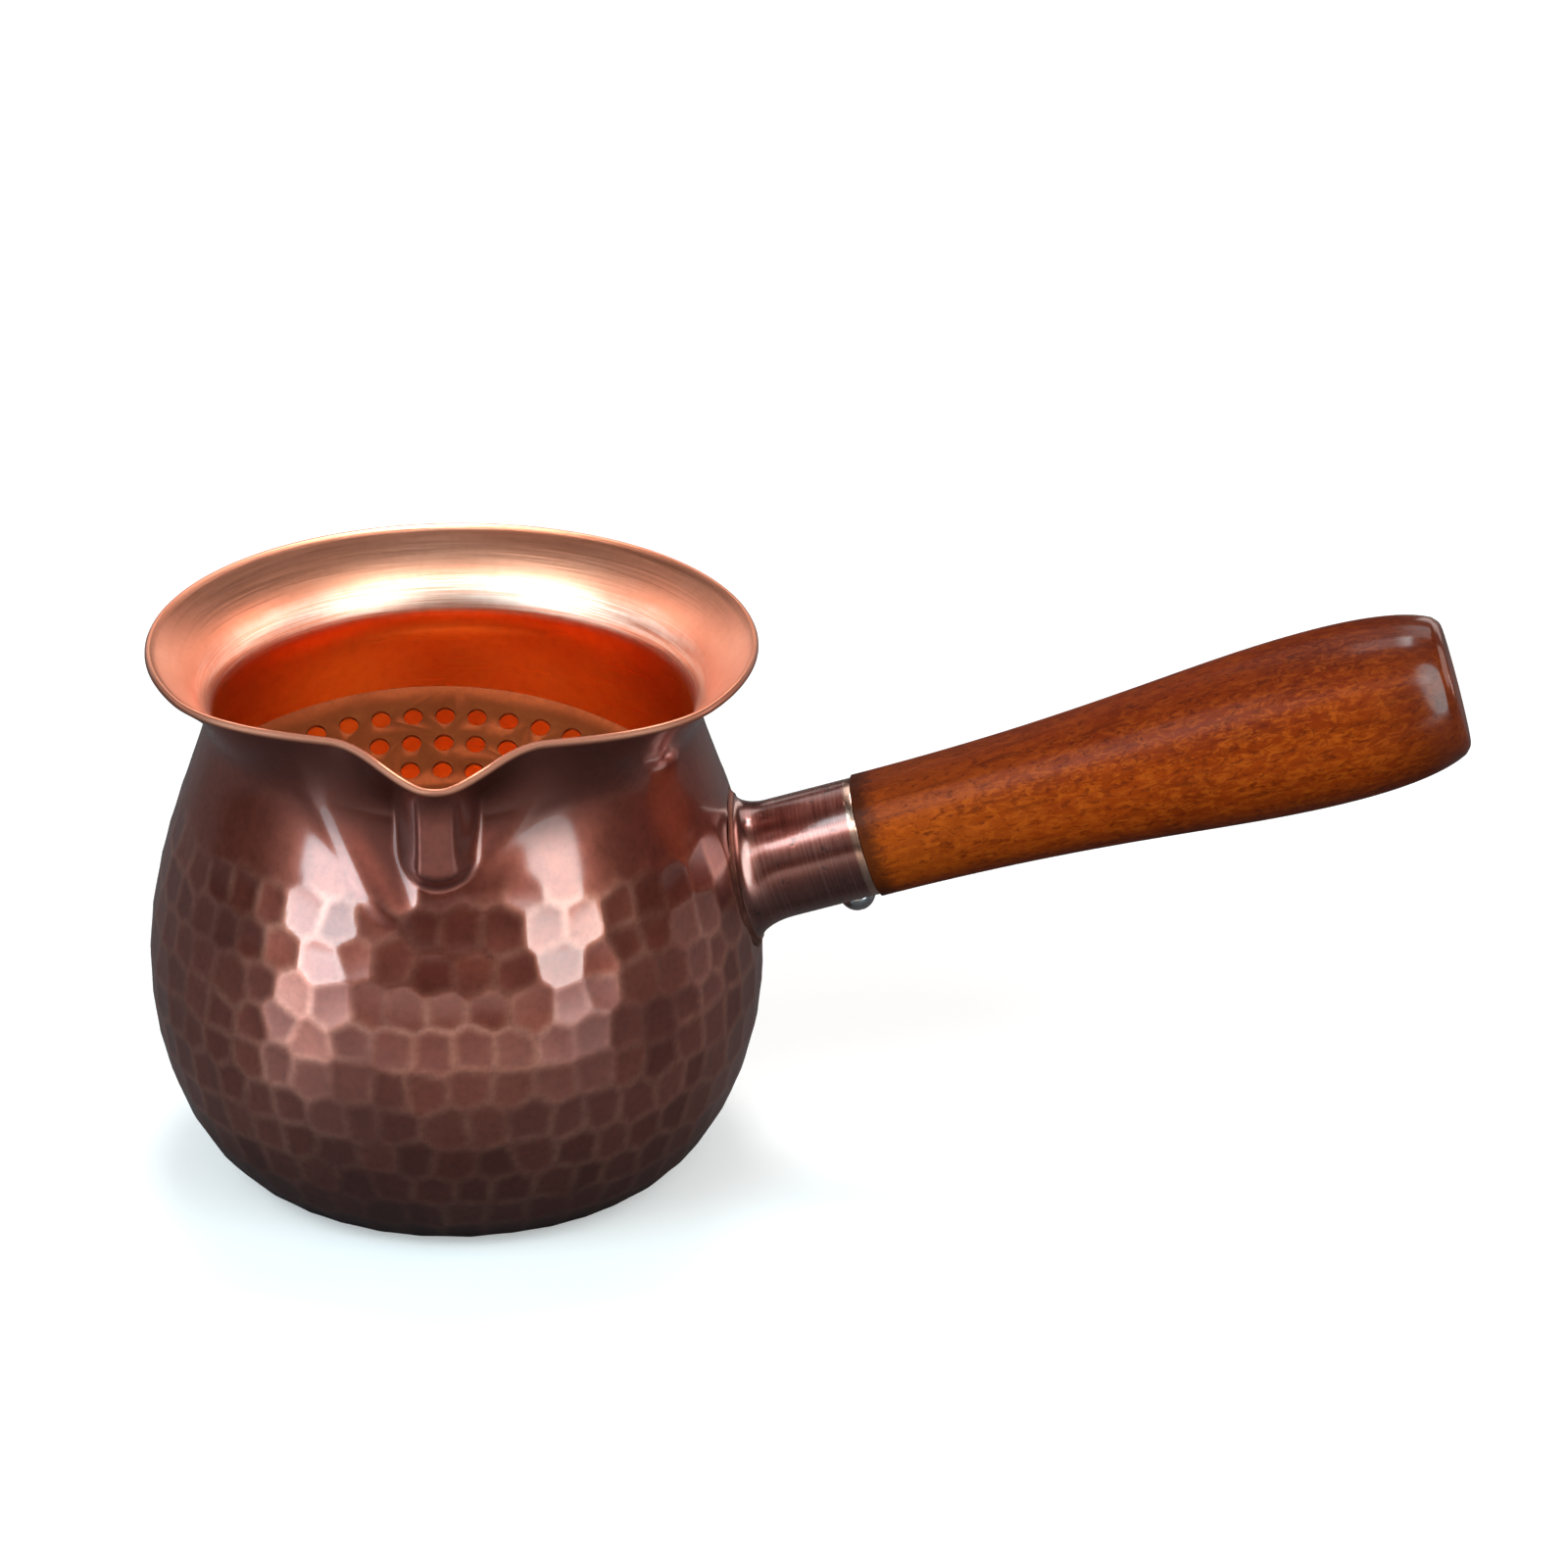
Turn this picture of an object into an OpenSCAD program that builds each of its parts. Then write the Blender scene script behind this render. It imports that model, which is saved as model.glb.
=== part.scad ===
// Side-handled tea pitcher: a raised copper bowl with a pinched pouring lip,
// a perforated strainer behind the lip, and a turned wooden handle in a socket.
// Millimetres. Origin at the centre of the foot, +Z up, lip towards -Y,
// handle towards +X.

/* [Bowl] */
// Height of the rim above the table
bowl_h = 77.6; // [77.2:0.1:80]
// Outside diameter of the flared rim
rim_d = 85.5; // [84:0.5:90]
// Outside diameter of the belly
belly_d = 87.1; // [86:0.1:90]
// Height of the widest ring of the belly
belly_z = 30; // [28:0.5:32]
// Diameter of the flat foot
foot_d = 56; // [50:0.5:60]
// Outside diameter of the throat, under the flare
throat_d = 69.7; // [69:0.1:71]
// Height of the flare, from the throat up to the rim
flare_h = 10.1; // [9.5:0.1:11]
// Thickness of the copper sheet
wall = 1.15; // [1:0.05:1.3]

/* [Pouring lip] */
// Distance of the groove's ridge in front of the bowl's axis
ridge_y = 39.3; // [38.5:0.1:40]
// Distance of the lip's edge in front of the bowl's axis
lip_y = 41.3; // [40.5:0.1:42]
// How far the lip's edge lies under the rim
lip_drop = 4.1; // [3:0.1:5]
// Half width of the groove
groove_w = 5.5; // [5:0.1:6]
// Half width of the mouth that the lip opens in the rim
lip_w = 15; // [14:0.5:16]
// Height of the groove's rounded foot above the table
groove_z = 57.6; // [57:0.1:59]
// How far the rim is drawn in beside the lip
pinch = 6.8; // [5:0.1:7]
// Angle on each side of the lip over which the rim is fully drawn in
pinch_flat = 16; // [14:1:20]
// Depth of the hollow pressed in on each side of the groove
hollow = 2.3; // [1:0.1:2.6]

/* [Strainer] */
// Thickness of the strainer plate
plate_t = 0.6; // [0.5:0.05:0.8]
// Slope of the plate, rising away from the lip
plate_tilt = 33.1; // [32:0.1:36]
// Distance of its top edge in front of the bowl's axis
plate_y = 12; // [11:0.5:13]
// How far the middle of its top edge lies under the rim
plate_drop = 0.9; // [0.7:0.1:2]
// Radius of the arc of its top edge
plate_arc = 50.6; // [48:0.2:54]
// Diameter of a strainer hole
hole_d = 2.65; // [2:0.05:3]
// Distance between neighbouring holes
hole_pitch = 4.4; // [4.3:0.02:4.8]
// Number of rows of holes
hole_rows = 5; // [1:1:5]
// Distance of the first row from the top edge
first_row = 4.9; // [4:0.1:6]
// Width of copper left between a hole and the plate's edge
hole_margin = 2.3; // [2:0.1:3]

/* [Handle] */
// Upward tilt of the handle
handle_tilt = 16.6; // [14:0.2:19]
// Height at which the handle's line meets the bowl's axis
handle_z = 31.8; // [30:0.2:34]
// Distance along that line from the bowl's axis to the socket's mouth
socket_end = 60.8; // [58:0.2:63]
// Outside diameter of the socket
socket_d = 17; // [16:0.1:18]
// Thickness of the socket's tube
socket_wall = 1; // [0.8:0.1:1.2]
// Widening of the socket's skirt where it stands on the bowl
skirt = 2; // [1.5:0.1:2.5]
// Length of the wooden handle outside the socket
grip_l = 85.6; // [80:0.2:95]
// Diameter of the handle at the socket
neck_d = 17.7; // [17.6:0.1:18.4]
// Diameter of the thickest part of the handle
grip_d = 24.8; // [23:0.2:27]
// Diameter of the handle's end face, inside its rounded edge
butt_d = 16.4; // [14:0.2:18]
// Length of the tenon inside the socket
tenon_l = 13; // [11:0.5:14]
// Diameter of the retaining screw's head
screw_head_d = 5.2; // [4:0.1:6]
// Distance of the screw from the socket's mouth
screw_in = 3.8; // [3.4:0.1:6]

/* [Hidden] */
$fn = 96;

throat_z = bowl_h - flare_h;
rim_r = rim_d / 2;
throat_r = throat_d / 2;
flare_w = rim_r - throat_r;
flare_power = 1.8;
curve_steps = 7;
belly_steps = 3;
neck_steps = 8;
flare_steps = 6;
edge_round = wall / 3;

foot_pull = 7.8;
belly_pull_down = 15;
belly_pull_up = 17;
throat_pull = 4;

function clamp01(v) = min(1, max(0, v));
function smooth(v) = let (c = clamp01(v)) c * c * (3 - 2 * c);
function unit(v) = v / norm(v);
function bezier(a, b, c, d, t) =
    pow(1 - t, 3) * a + 3 * pow(1 - t, 2) * t * b
    + 3 * (1 - t) * t * t * c + pow(t, 3) * d;

// ---- outline of the bowl, as [radius, height], from the axis to the rim ----

function foot_to_belly(t) =
    bezier([foot_d / 2, 0], [foot_d / 2 + foot_pull, 0],
           [belly_d / 2, belly_z - belly_pull_down], [belly_d / 2, belly_z], t);
function belly_to_throat(t) =
    bezier([belly_d / 2, belly_z], [belly_d / 2, belly_z + belly_pull_up],
           [throat_r, throat_z - throat_pull], [throat_r, throat_z], t);
function throat_to_rim(t) =
    [throat_r + flare_w * pow(t, flare_power), throat_z + flare_h * t];

outline = concat(
    [[0, 0]],
    [for (i = [0 : curve_steps - 1]) foot_to_belly(i / curve_steps)],
    [for (i = [0 : belly_steps - 1]) belly_to_throat(i / curve_steps)],
    [for (i = [0 : neck_steps - 1])
        belly_to_throat((belly_steps + (curve_steps - belly_steps) * i / neck_steps) / curve_steps)],
    [for (i = [0 : flare_steps]) throat_to_rim(i / flare_steps)]);
last = len(outline) - 1;

// The outline's inner face: each point sunk square to the sheet by depth.
function outline_run(i) =
    let (step = outline[min(i + 1, last)] - outline[max(i - 1, 0)]) step / norm(step);
function sunk(i, depth) =
    i <= 1 ? outline[i] + [0, depth]
           : outline[i] - depth * [outline_run(i)[1], -outline_run(i)[0]];
function edge_middle(depth) =
    (outline[last] + sunk(last, depth)) / 2 + edge_round * outline_run(last);
wall_outline = concat(outline, [edge_middle(wall)],
                      [for (i = [last : -1 : 0]) sunk(i, wall)]);

// ---- the lip: how each point of the round bowl is moved by the forming ----

sector = 60;
ridge_fade = 2;
foot_rise = 2.5;
crease_foot = 56;
crease_soft = 4;
hollow_fade = 67;
hollow_top = 75;
// Left and right of the groove: where each hollow's slanting crease starts, and its slope.
crease_x = [7.7, -1];
crease_slope = [54, 43];
groove_power = 0.75;
mouth_power = 2.2;
drop_power = 1.5;

function flare_share(z) = clamp01((z - throat_z) / flare_h);
function rim_pinch(a) = smooth((sector - abs(a)) / (sector - pinch_flat));
function above_crease(x, z) =
    let (side = x < 0 ? 0 : 1)
    (z - crease_foot) * cos(crease_slope[side]) - (abs(x) - crease_x[side]) * sin(crease_slope[side]);
function hollow_at(x, z) =
    hollow * smooth(above_crease(x, z) / crease_soft) * smooth((hollow_top - z) / (hollow_top - hollow_fade));
function groove_foot(x) = groove_z + foot_rise * min(1, pow(x / groove_w, 2));
function groove_shape(x) = pow(clamp01(1 - pow(x / groove_w, 2)), groove_power);
function mouth_shape(x) = abs(x) < lip_w ? pow(cos(90 * x / lip_w), 2) : 0;
function lip_shape(x, s) =
    let (open = pow(s, mouth_power))
    (1 - open) * groove_shape(x) + open * mouth_shape(x);

// Where forming leaves outline point p, at angle a from the lip.
function formed(p, a) =
    let (s = flare_share(p[1]),
         drawn_in = pinch * pow(s, flare_power),
         r = p[0] - drawn_in * rim_pinch(a),
         x = r * sin(a),
         ridge = ridge_y + (lip_y - ridge_y) * s * s,
         stand = max(0, ridge - p[0] + drawn_in) * smooth((p[1] - groove_foot(x)) / ridge_fade),
         out = stand * lip_shape(x, s) - hollow_at(x, p[1]) * (1 - groove_shape(x)))
    abs(a) < sector
        ? [x, -r * cos(a) - out, p[1] - lip_drop * pow(s, drop_power) * mouth_shape(x)]
        : [p[0] * sin(a), -p[0] * cos(a), p[1]];

nudge = 0.2;

function run_at(i, a) =
    unit(formed(outline[min(i + 1, last)], a) - formed(outline[max(i - 1, 0)], a));
function outward(i, a) =
    unit(cross(formed(outline[i], a + nudge) - formed(outline[i], a - nudge), run_at(i, a)));

// Point i of the sheet at angle a, sunk by depth into the bowl.
function sheet(i, a, depth) =
    abs(a) >= sector ? formed(sunk(i, depth), a)
    : i <= 1 ? formed(outline[i], a) + [0, 0, depth]
    : formed(outline[i], a) - depth * outward(i, a);
function sheet_edge(a) =
    abs(a) >= sector ? formed(edge_middle(wall), a)
    : (sheet(last, a, 0) + sheet(last, a, wall)) / 2 + edge_round * run_at(last, a);

fine_step = 1;
fine_end = 14;
mid_step = 2;
mid_end = 30;
coarse_step = 5;
side_angles = concat(
    [for (a = [fine_step : fine_step : fine_end]) a],
    [for (a = [fine_end + mid_step : mid_step : mid_end]) a],
    [for (a = [mid_end + coarse_step : coarse_step : sector]) a]);
columns = concat([for (i = [len(side_angles) - 1 : -1 : 0]) -side_angles[i]],
                 [0], side_angles);

// The bowl, lofted through one closed section of the sheet per column.
back_step = 6;
around = concat(columns, [for (a = [sector + back_step : back_step : 360 - sector - back_step]) a]);
function section(a) = concat(
    [for (i = [1 : last]) sheet(i, a, 0)], [sheet_edge(a)],
    [for (i = [last : -1 : 1]) sheet(i, a, wall)]);
ring = 2 * last + 1;
function id(c, k) = (c % len(around)) * ring + k;

module body_shell() color([0.55, 0.29, 0.22])
    polyhedron([for (a = around) each section(a)], concat(
        [for (c = [0 : len(around) - 1], k = [0 : ring - 2]) each
            [[id(c, k), id(c + 1, k + 1), id(c + 1, k)], [id(c, k), id(c, k + 1), id(c + 1, k + 1)]]],
        [[for (c = [0 : len(around) - 1]) id(c, 0)]],
        [[for (c = [len(around) - 1 : -1 : 0]) id(c, ring - 1)]]));

// The bowl as a filled solid, grown sideways, to seat the socket on.
module bowl_solid(grow) {
    rotate_extrude() polygon(concat(
        [for (p = outline) p[0] > 0 ? p + [grow, 0] : p], [[0, bowl_h]]));
}

// ---- strainer ----

plate_top = [0, -plate_y, bowl_h - plate_drop];
plate_up = [0, cos(plate_tilt), sin(plate_tilt)];
plate_face = [0, -sin(plate_tilt), cos(plate_tilt)];
plate_gap = 0.35;
solder_gap = 0.05;
solder_w = 1.4;
plate_reach = 66;
plate_beyond = 8;
solder_reach = 50;

// Where the sheet, sunk by depth, meets the plane level above the plate's own.
function above_plate(q) = (q - plate_top) * plate_face;
function meets(a, depth, level) =
    [for (i = [2 : last - 1])
        let (q = sheet(i, a, depth), w = sheet(i + 1, a, depth),
             h = above_plate(q) - level, k = above_plate(w) - level)
        if (h < 0 && k >= 0) q + (w - q) * h / (h - k)][0];
function flat_on_plate(q) = [q[0], (q - plate_top) * plate_up];

plate_angles = concat([for (a = columns) if (abs(a) < sector) a], [sector, plate_reach]);
plate_columns = concat([-plate_reach, -sector], plate_angles);
plate_edge = [for (a = plate_columns) flat_on_plate(meets(a, wall + plate_gap, 0))];
plate_end = plate_edge[len(plate_edge) - 1];

function arc_drop(x) = plate_arc - sqrt(plate_arc * plate_arc - x * x);
function clear_of_edge(h) = min([for (p = plate_edge) norm(p - h)]) > hole_d / 2 + hole_margin;
function inside_bowl(h) = norm([h[0], plate_y - h[1] * cos(plate_tilt)]) < throat_r - wall;
half_row = floor(throat_r / hole_pitch);
holes = [for (row = [0 : hole_rows - 1], j = [-half_row : half_row])
            let (x = j * hole_pitch, h = [x, -first_row - row * hole_pitch - arc_drop(x)])
            if (inside_bowl(h) && clear_of_edge(h) && clear_of_edge([-h[0], h[1]])) h];

module on_plate() {
    translate(plate_top) rotate([plate_tilt, 0, 0]) children();
}

module strainer_plate() color([0.67, 0.42, 0.29]) on_plate()
    translate([0, 0, -plate_t / 2]) difference() {
        intersection() {
            linear_extrude(plate_t) polygon(concat(plate_edge,
                [plate_end + [0, plate_beyond], [-plate_end[0], plate_end[1] + plate_beyond]]));
            translate([0, -plate_arc, -plate_t]) cylinder(r = plate_arc, h = 3 * plate_t);
        }
        for (h = holes)
            translate([h[0], h[1], -plate_t]) cylinder(d = hole_d, h = 3 * plate_t);
    }

module strainer_solder() color([0.62, 0.58, 0.50]) {
    angles = [for (a = columns) if (abs(a) <= solder_reach) a];
    under = -plate_t / 2 - solder_gap;
    points = [for (a = angles) each [meets(a, wall + solder_gap, under),
                                     meets(a, wall + solder_gap, under - solder_w),
                                     meets(a, wall + solder_w, under)]];
    far = len(angles) - 1;
    polyhedron(points, concat(
        [for (c = [0 : far - 1], k = [0 : 2]) each [
            [3 * c + k, 3 * c + (k + 1) % 3, 3 * c + 3 + (k + 1) % 3],
            [3 * c + k, 3 * c + 3 + (k + 1) % 3, 3 * c + 3 + k]]],
        [[2, 1, 0], [3 * far, 3 * far + 1, 3 * far + 2]]));
}

// ---- handle ----

socket_r = socket_d / 2;
bore_r = socket_r - socket_wall;
socket_root = 30;
skirt_top = 48;
skirt_foot = 43.4;
skirt_steps = 6;
mouth_break = 0.25;
seat_gap = 0.03;
braze_t = 0.7;
braze_w = 0.9;
tenon_gap = 0.05;
shoulder_gap = 0.03;
grip_peak = 68;
grip_steps = 10;
grip_swell_start = 35;
grip_swell_end = 50;
butt_steps = 6;
butt_shoulder = 1;
butt_shoulder_w = 1.7;
butt_dome = 0.3;
butt_pull_out = 1.4;
butt_pull_back = 2.6;
screw_shank_d = 2.6;
screw_shank_l = 7;
screw_head_h = 2.3;
screw_slot_w = 0.6;
screw_slot_l = 2.8;
screw_gap = 0.05;
shank_in_head = 0.5;
past = 1;

module along_handle() {
    translate([0, 0, handle_z]) rotate([0, 90 - handle_tilt, 0]) children();
}

// Square to the handle, pointing out of its underside through the screw.
module at_screw() {
    along_handle() translate([0, 0, socket_end - screw_in]) rotate([0, 90, 0]) children();
}

skirt_curve = [for (i = [0 : skirt_steps])
    [socket_r + skirt * (1 - cos(90 * i / skirt_steps)),
     skirt_top + (skirt_foot - skirt_top) * sin(90 * i / skirt_steps)]];

module socket_blank() {
    along_handle() rotate_extrude() polygon(concat(
        [[0, socket_end], [socket_r - mouth_break, socket_end],
         [socket_r, socket_end - mouth_break]],
        skirt_curve,
        [[socket_r + skirt, socket_root], [0, socket_root]]));
}

module handle_socket() color([0.50, 0.27, 0.22]) difference() {
    socket_blank();
    along_handle() cylinder(r = bore_r, h = socket_end + past);
    bowl_solid(seat_gap);
    at_screw() cylinder(d = screw_shank_d + 2 * screw_gap, h = socket_d);
}

module socket_braze() color([0.72, 0.47, 0.36]) difference() {
    intersection() {
        bowl_solid(braze_t);
        along_handle() translate([0, 0, socket_root])
            cylinder(r = socket_r + skirt + braze_w, h = socket_end - socket_root);
    }
    bowl_solid(seat_gap);
    socket_blank();
}

function grip_curve(t) =
    bezier([neck_d / 2, 0], [neck_d / 2, grip_swell_start],
           [grip_d / 2, grip_swell_end], [grip_d / 2, grip_peak], t);
butt_edge = [butt_d / 2 + butt_shoulder_w, grip_l - butt_shoulder];
function butt_curve(t) =
    bezier([grip_d / 2, grip_peak], [grip_d / 2, grip_peak + (grip_l - grip_peak) / 2],
           butt_edge + [butt_pull_out, -butt_pull_back], butt_edge, t);
function butt_round(t) =
    bezier(butt_edge, butt_edge + [-butt_shoulder_w / 3, butt_shoulder / 2],
           [butt_d / 2 + butt_shoulder_w / 2, grip_l], [butt_d / 2, grip_l], t);
grip_outline = concat(
    [for (i = [0 : grip_steps - 1]) grip_curve(i / grip_steps)],
    [for (i = [0 : butt_steps - 1]) butt_curve(i / butt_steps)],
    [for (i = [0 : butt_steps]) butt_round(i / butt_steps)],
    [[0, grip_l + butt_dome], [0, 0]]);

module handle() color([0.62, 0.27, 0.08]) difference() {
    union() {
        along_handle() translate([0, 0, socket_end + shoulder_gap])
            rotate_extrude() polygon(grip_outline);
        along_handle() translate([0, 0, socket_end - tenon_l])
            cylinder(r = bore_r - tenon_gap, h = tenon_l + past);
    }
    at_screw() translate([0, 0, socket_r - screw_shank_l])
        cylinder(d = screw_shank_d + 2 * screw_gap, h = socket_d);
}

dome_r = (pow(screw_head_d / 2, 2) + pow(screw_head_h, 2)) / (2 * screw_head_h);
module screw_head() difference() {
    at_screw() intersection() {
        cylinder(d = screw_head_d, h = socket_d);
        translate([0, 0, socket_r + screw_head_h - dome_r]) sphere(r = dome_r);
    }
    along_handle() cylinder(r = socket_r + seat_gap, h = socket_end);
    for (turn = [0, 90])
        at_screw() rotate([0, 0, turn])
            translate([-screw_slot_l / 2, -screw_slot_w / 2, socket_r + screw_head_h / 2])
                cube([screw_slot_l, screw_slot_w, screw_head_h]);
}

module handle_screw() color([0.78, 0.78, 0.80]) {
    at_screw() translate([0, 0, socket_r - screw_shank_l + screw_gap])
        cylinder(d = screw_shank_d, h = screw_shank_l + shank_in_head);
    screw_head();
}

body_shell();
strainer_plate();
strainer_solder();
handle_socket();
socket_braze();
handle();
handle_screw();
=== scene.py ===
import math
import random

import bmesh
import bpy
import numpy as np
from mathutils import Matrix, Vector, kdtree


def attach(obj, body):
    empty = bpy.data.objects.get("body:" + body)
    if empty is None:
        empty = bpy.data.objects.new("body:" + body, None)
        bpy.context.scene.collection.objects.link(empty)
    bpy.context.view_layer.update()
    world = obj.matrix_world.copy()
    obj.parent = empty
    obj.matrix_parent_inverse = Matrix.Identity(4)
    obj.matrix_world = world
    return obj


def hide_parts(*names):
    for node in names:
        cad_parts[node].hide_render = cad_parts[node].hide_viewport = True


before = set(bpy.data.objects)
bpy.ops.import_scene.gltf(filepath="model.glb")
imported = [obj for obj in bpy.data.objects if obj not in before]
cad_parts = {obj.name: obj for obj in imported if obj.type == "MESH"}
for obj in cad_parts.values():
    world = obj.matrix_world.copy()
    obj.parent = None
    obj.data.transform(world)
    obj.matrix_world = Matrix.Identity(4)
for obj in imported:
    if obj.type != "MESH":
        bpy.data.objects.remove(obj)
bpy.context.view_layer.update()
mm = 0.001
random.seed(11)


# small shape functions, for numbers and for arrays

def smoothStep(v):
    v = np.clip(v, 0.0, 1.0)
    return v * v * (3.0 - 2.0 * v)


def unitRows(v):
    return v / np.maximum(np.linalg.norm(v, axis=-1, keepdims=True), 1e-12)


def bezier(a, b, c, d, t):
    t = np.asarray(t, float)[:, None]
    a, b, c, d = (np.array(p, float) for p in (a, b, c, d))
    return (1 - t) ** 3 * a + 3 * (1 - t) ** 2 * t * b + 3 * (1 - t) * t * t * c + t ** 3 * d


# bowl: the same outline and forming as the frame's, in millimetres and degrees

bowl = {
    "rimZ": 77.6, "rimR": 42.75, "bellyR": 43.55, "bellyZ": 30.0, "footR": 28.0,
    "throatR": 34.85, "flareH": 10.1, "flarePower": 1.8, "wall": 1.15,
    "footPull": 7.8, "bellyPullDown": 15.0, "bellyPullUp": 17.0, "throatPull": 4.0,
    # pouring lip and the groove that runs down from it
    "sector": 60.0, "pinch": 6.8, "pinchFlat": 16.0, "lipY": 41.3, "lipW": 15.0, "lipDrop": 4.1,
    "dropPower": 1.5, "mouthPower": 2.2, "ridgeY": 39.3, "ridgeFade": 2.6, "ribFlat": 1.9, "ribFoot": 6.3,
    "grooveW": 5.5, "grooveZ": 57.6, "footRise": 2.5,
    # pressed hollows beside the groove: a crease is its start and its slope
    "hollow": 2.3, "hollowFade": 63.0, "hollowTop": 77.0, "creaseFoot": 56.0, "creaseReach": 7.6,
    "leftCrease": (7.7, 54.0), "rightCrease": (-1.0, 43.0), "fold": 0.2, "foldRise": 0.34, "foldW": 1.5,
    "foldLow": 52.0, "foldHigh": 55.0, "foldEnd": 66.0, "foldFade": 5.0,
    # mesh
    "edgeRound": 0.38, "easing": 0.45, "columns": 460, "rowStep": 0.585, "neckStep": 0.72,
    "innerStep": 3.0, "innerCoarser": 1.6, "footSteps": 5, "rimSteps": 7,
}
throatZ = bowl["rimZ"] - bowl["flareH"]
probe = 0.004  # step of along or of angle that directions are measured over


def bowlOutline(along):
    # -1 is the middle of the foot, 0 its edge, 1 the belly, 2 the throat and 3 the rim
    along = np.asarray(along, float)
    floor = np.stack([bowl["footR"] * (1 + np.clip(along, -1, 0)), np.zeros_like(along)], 1)
    low = bezier((bowl["footR"], 0), (bowl["footR"] + bowl["footPull"], 0),
                 (bowl["bellyR"], bowl["bellyZ"] - bowl["bellyPullDown"]),
                 (bowl["bellyR"], bowl["bellyZ"]), np.clip(along, 0, 1))
    high = bezier((bowl["bellyR"], bowl["bellyZ"]), (bowl["bellyR"], bowl["bellyZ"] + bowl["bellyPullUp"]),
                  (bowl["throatR"], throatZ - bowl["throatPull"]), (bowl["throatR"], throatZ),
                  np.clip(along - 1, 0, 1))
    t = np.clip(along - 2, 0, 1)
    flareW = bowl["rimR"] - bowl["throatR"]
    flare = np.stack([bowl["throatR"] + flareW * t ** bowl["flarePower"], throatZ + bowl["flareH"] * t], 1)
    part = along[:, None]
    return np.where(part < 0, floor, np.where(part < 1, low, np.where(part < 2, high, flare)))


def ribShare(x):
    return smoothStep((bowl["ribFoot"] - np.abs(x)) / (bowl["ribFoot"] - bowl["ribFlat"]))


def hollowShares(x, z):
    # how deep the pressed hollows are, and how high the copper is pushed up along their folds
    creases = zip(bowl["leftCrease"], bowl["rightCrease"])
    start, slope = (np.where(x < 0, left, right) for left, right in creases)
    lean = np.radians(slope)
    above = (z - bowl["creaseFoot"]) * np.cos(lean) - (np.abs(x) - start) * np.sin(lean)
    inward, fold = np.clip(above / bowl["creaseReach"], 0, 1), bowl["fold"]
    sink = np.where(inward < fold, inward * inward / (2 * fold), inward - fold / 2) / (1 - fold / 2)
    fade = smoothStep((bowl["hollowTop"] - z) / (bowl["hollowTop"] - bowl["hollowFade"])) * (1 - ribShare(x))
    pushed = np.exp(-(above / bowl["foldW"] + 0.5) ** 2)
    pushed *= smoothStep((z - bowl["foldLow"]) / (bowl["foldHigh"] - bowl["foldLow"]))
    pushed *= smoothStep((bowl["foldEnd"] + bowl["foldFade"] - z) / bowl["foldFade"])
    return sink * fade, pushed * fade


def formBowl(outline, angle):
    r, z = outline[:, 0], outline[:, 1]
    s = np.clip((z - throatZ) / bowl["flareH"], 0, 1)
    turn = np.degrees(np.abs(angle))
    drawnIn = bowl["pinch"] * s ** bowl["flarePower"]
    near = r - drawnIn * smoothStep((bowl["sector"] - turn) / (bowl["sector"] - bowl["pinchFlat"]))
    x = near * np.sin(angle)
    ridge = bowl["ridgeY"] + (bowl["lipY"] - bowl["ridgeY"]) * s * s
    foot = bowl["grooveZ"] + bowl["footRise"] * np.minimum(1, (x / bowl["grooveW"]) ** 2)
    stand = np.maximum(0, ridge - r + drawnIn) * smoothStep((z - foot) / bowl["ridgeFade"])
    mouth = np.where(np.abs(x) < bowl["lipW"], np.cos(math.pi / 2 * x / bowl["lipW"]) ** 2, 0)
    opened = s ** bowl["mouthPower"]
    shape = (1 - opened) * ribShare(x) + opened * mouth
    sunk, pushed = hollowShares(x, z)
    out = stand * shape + bowl["foldRise"] * pushed - bowl["hollow"] * sunk
    drop = bowl["lipDrop"] * s ** bowl["dropPower"] * mouth
    lipped = np.stack([x, -near * np.cos(angle) - out, z - drop], 1)
    plain = np.stack([r * np.sin(angle), -r * np.cos(angle), z], 1)
    return np.where((turn < bowl["sector"])[:, None], lipped, plain)


def sheetOfBowl(along, angle, depth, edge):
    # a point of the sheet, sunk by depth under its outer face, or bulged out along its rim
    at = formBowl(bowlOutline(along), angle)
    run = unitRows(formBowl(bowlOutline(np.minimum(along + probe, 3)), angle)
                   - formBowl(bowlOutline(along - probe), angle))
    across = formBowl(bowlOutline(along), angle + probe) - formBowl(bowlOutline(along), angle - probe)
    underFoot = (along < -0.02)[:, None]
    outward = np.where(underFoot, np.array([0.0, 0.0, -1.0]), unitRows(np.cross(across, run)))
    return at - depth[:, None] * outward + (edge * bowl["edgeRound"])[:, None] * run, outward


def evenSteps(start, end, step):
    # values of along that are a fixed length of copper apart
    fine = np.linspace(start, end, 1500)
    path = bowlOutline(fine)
    run = np.concatenate([[0], np.cumsum(np.linalg.norm(np.diff(path, axis=0), axis=1))])
    count = max(1, round(run[-1] / step))
    return np.interp(np.linspace(0, run[-1], count + 1), run, fine)


# hammer marks: one seed for each blow, in rings from the foot to the shoulder, in millimetres

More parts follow.
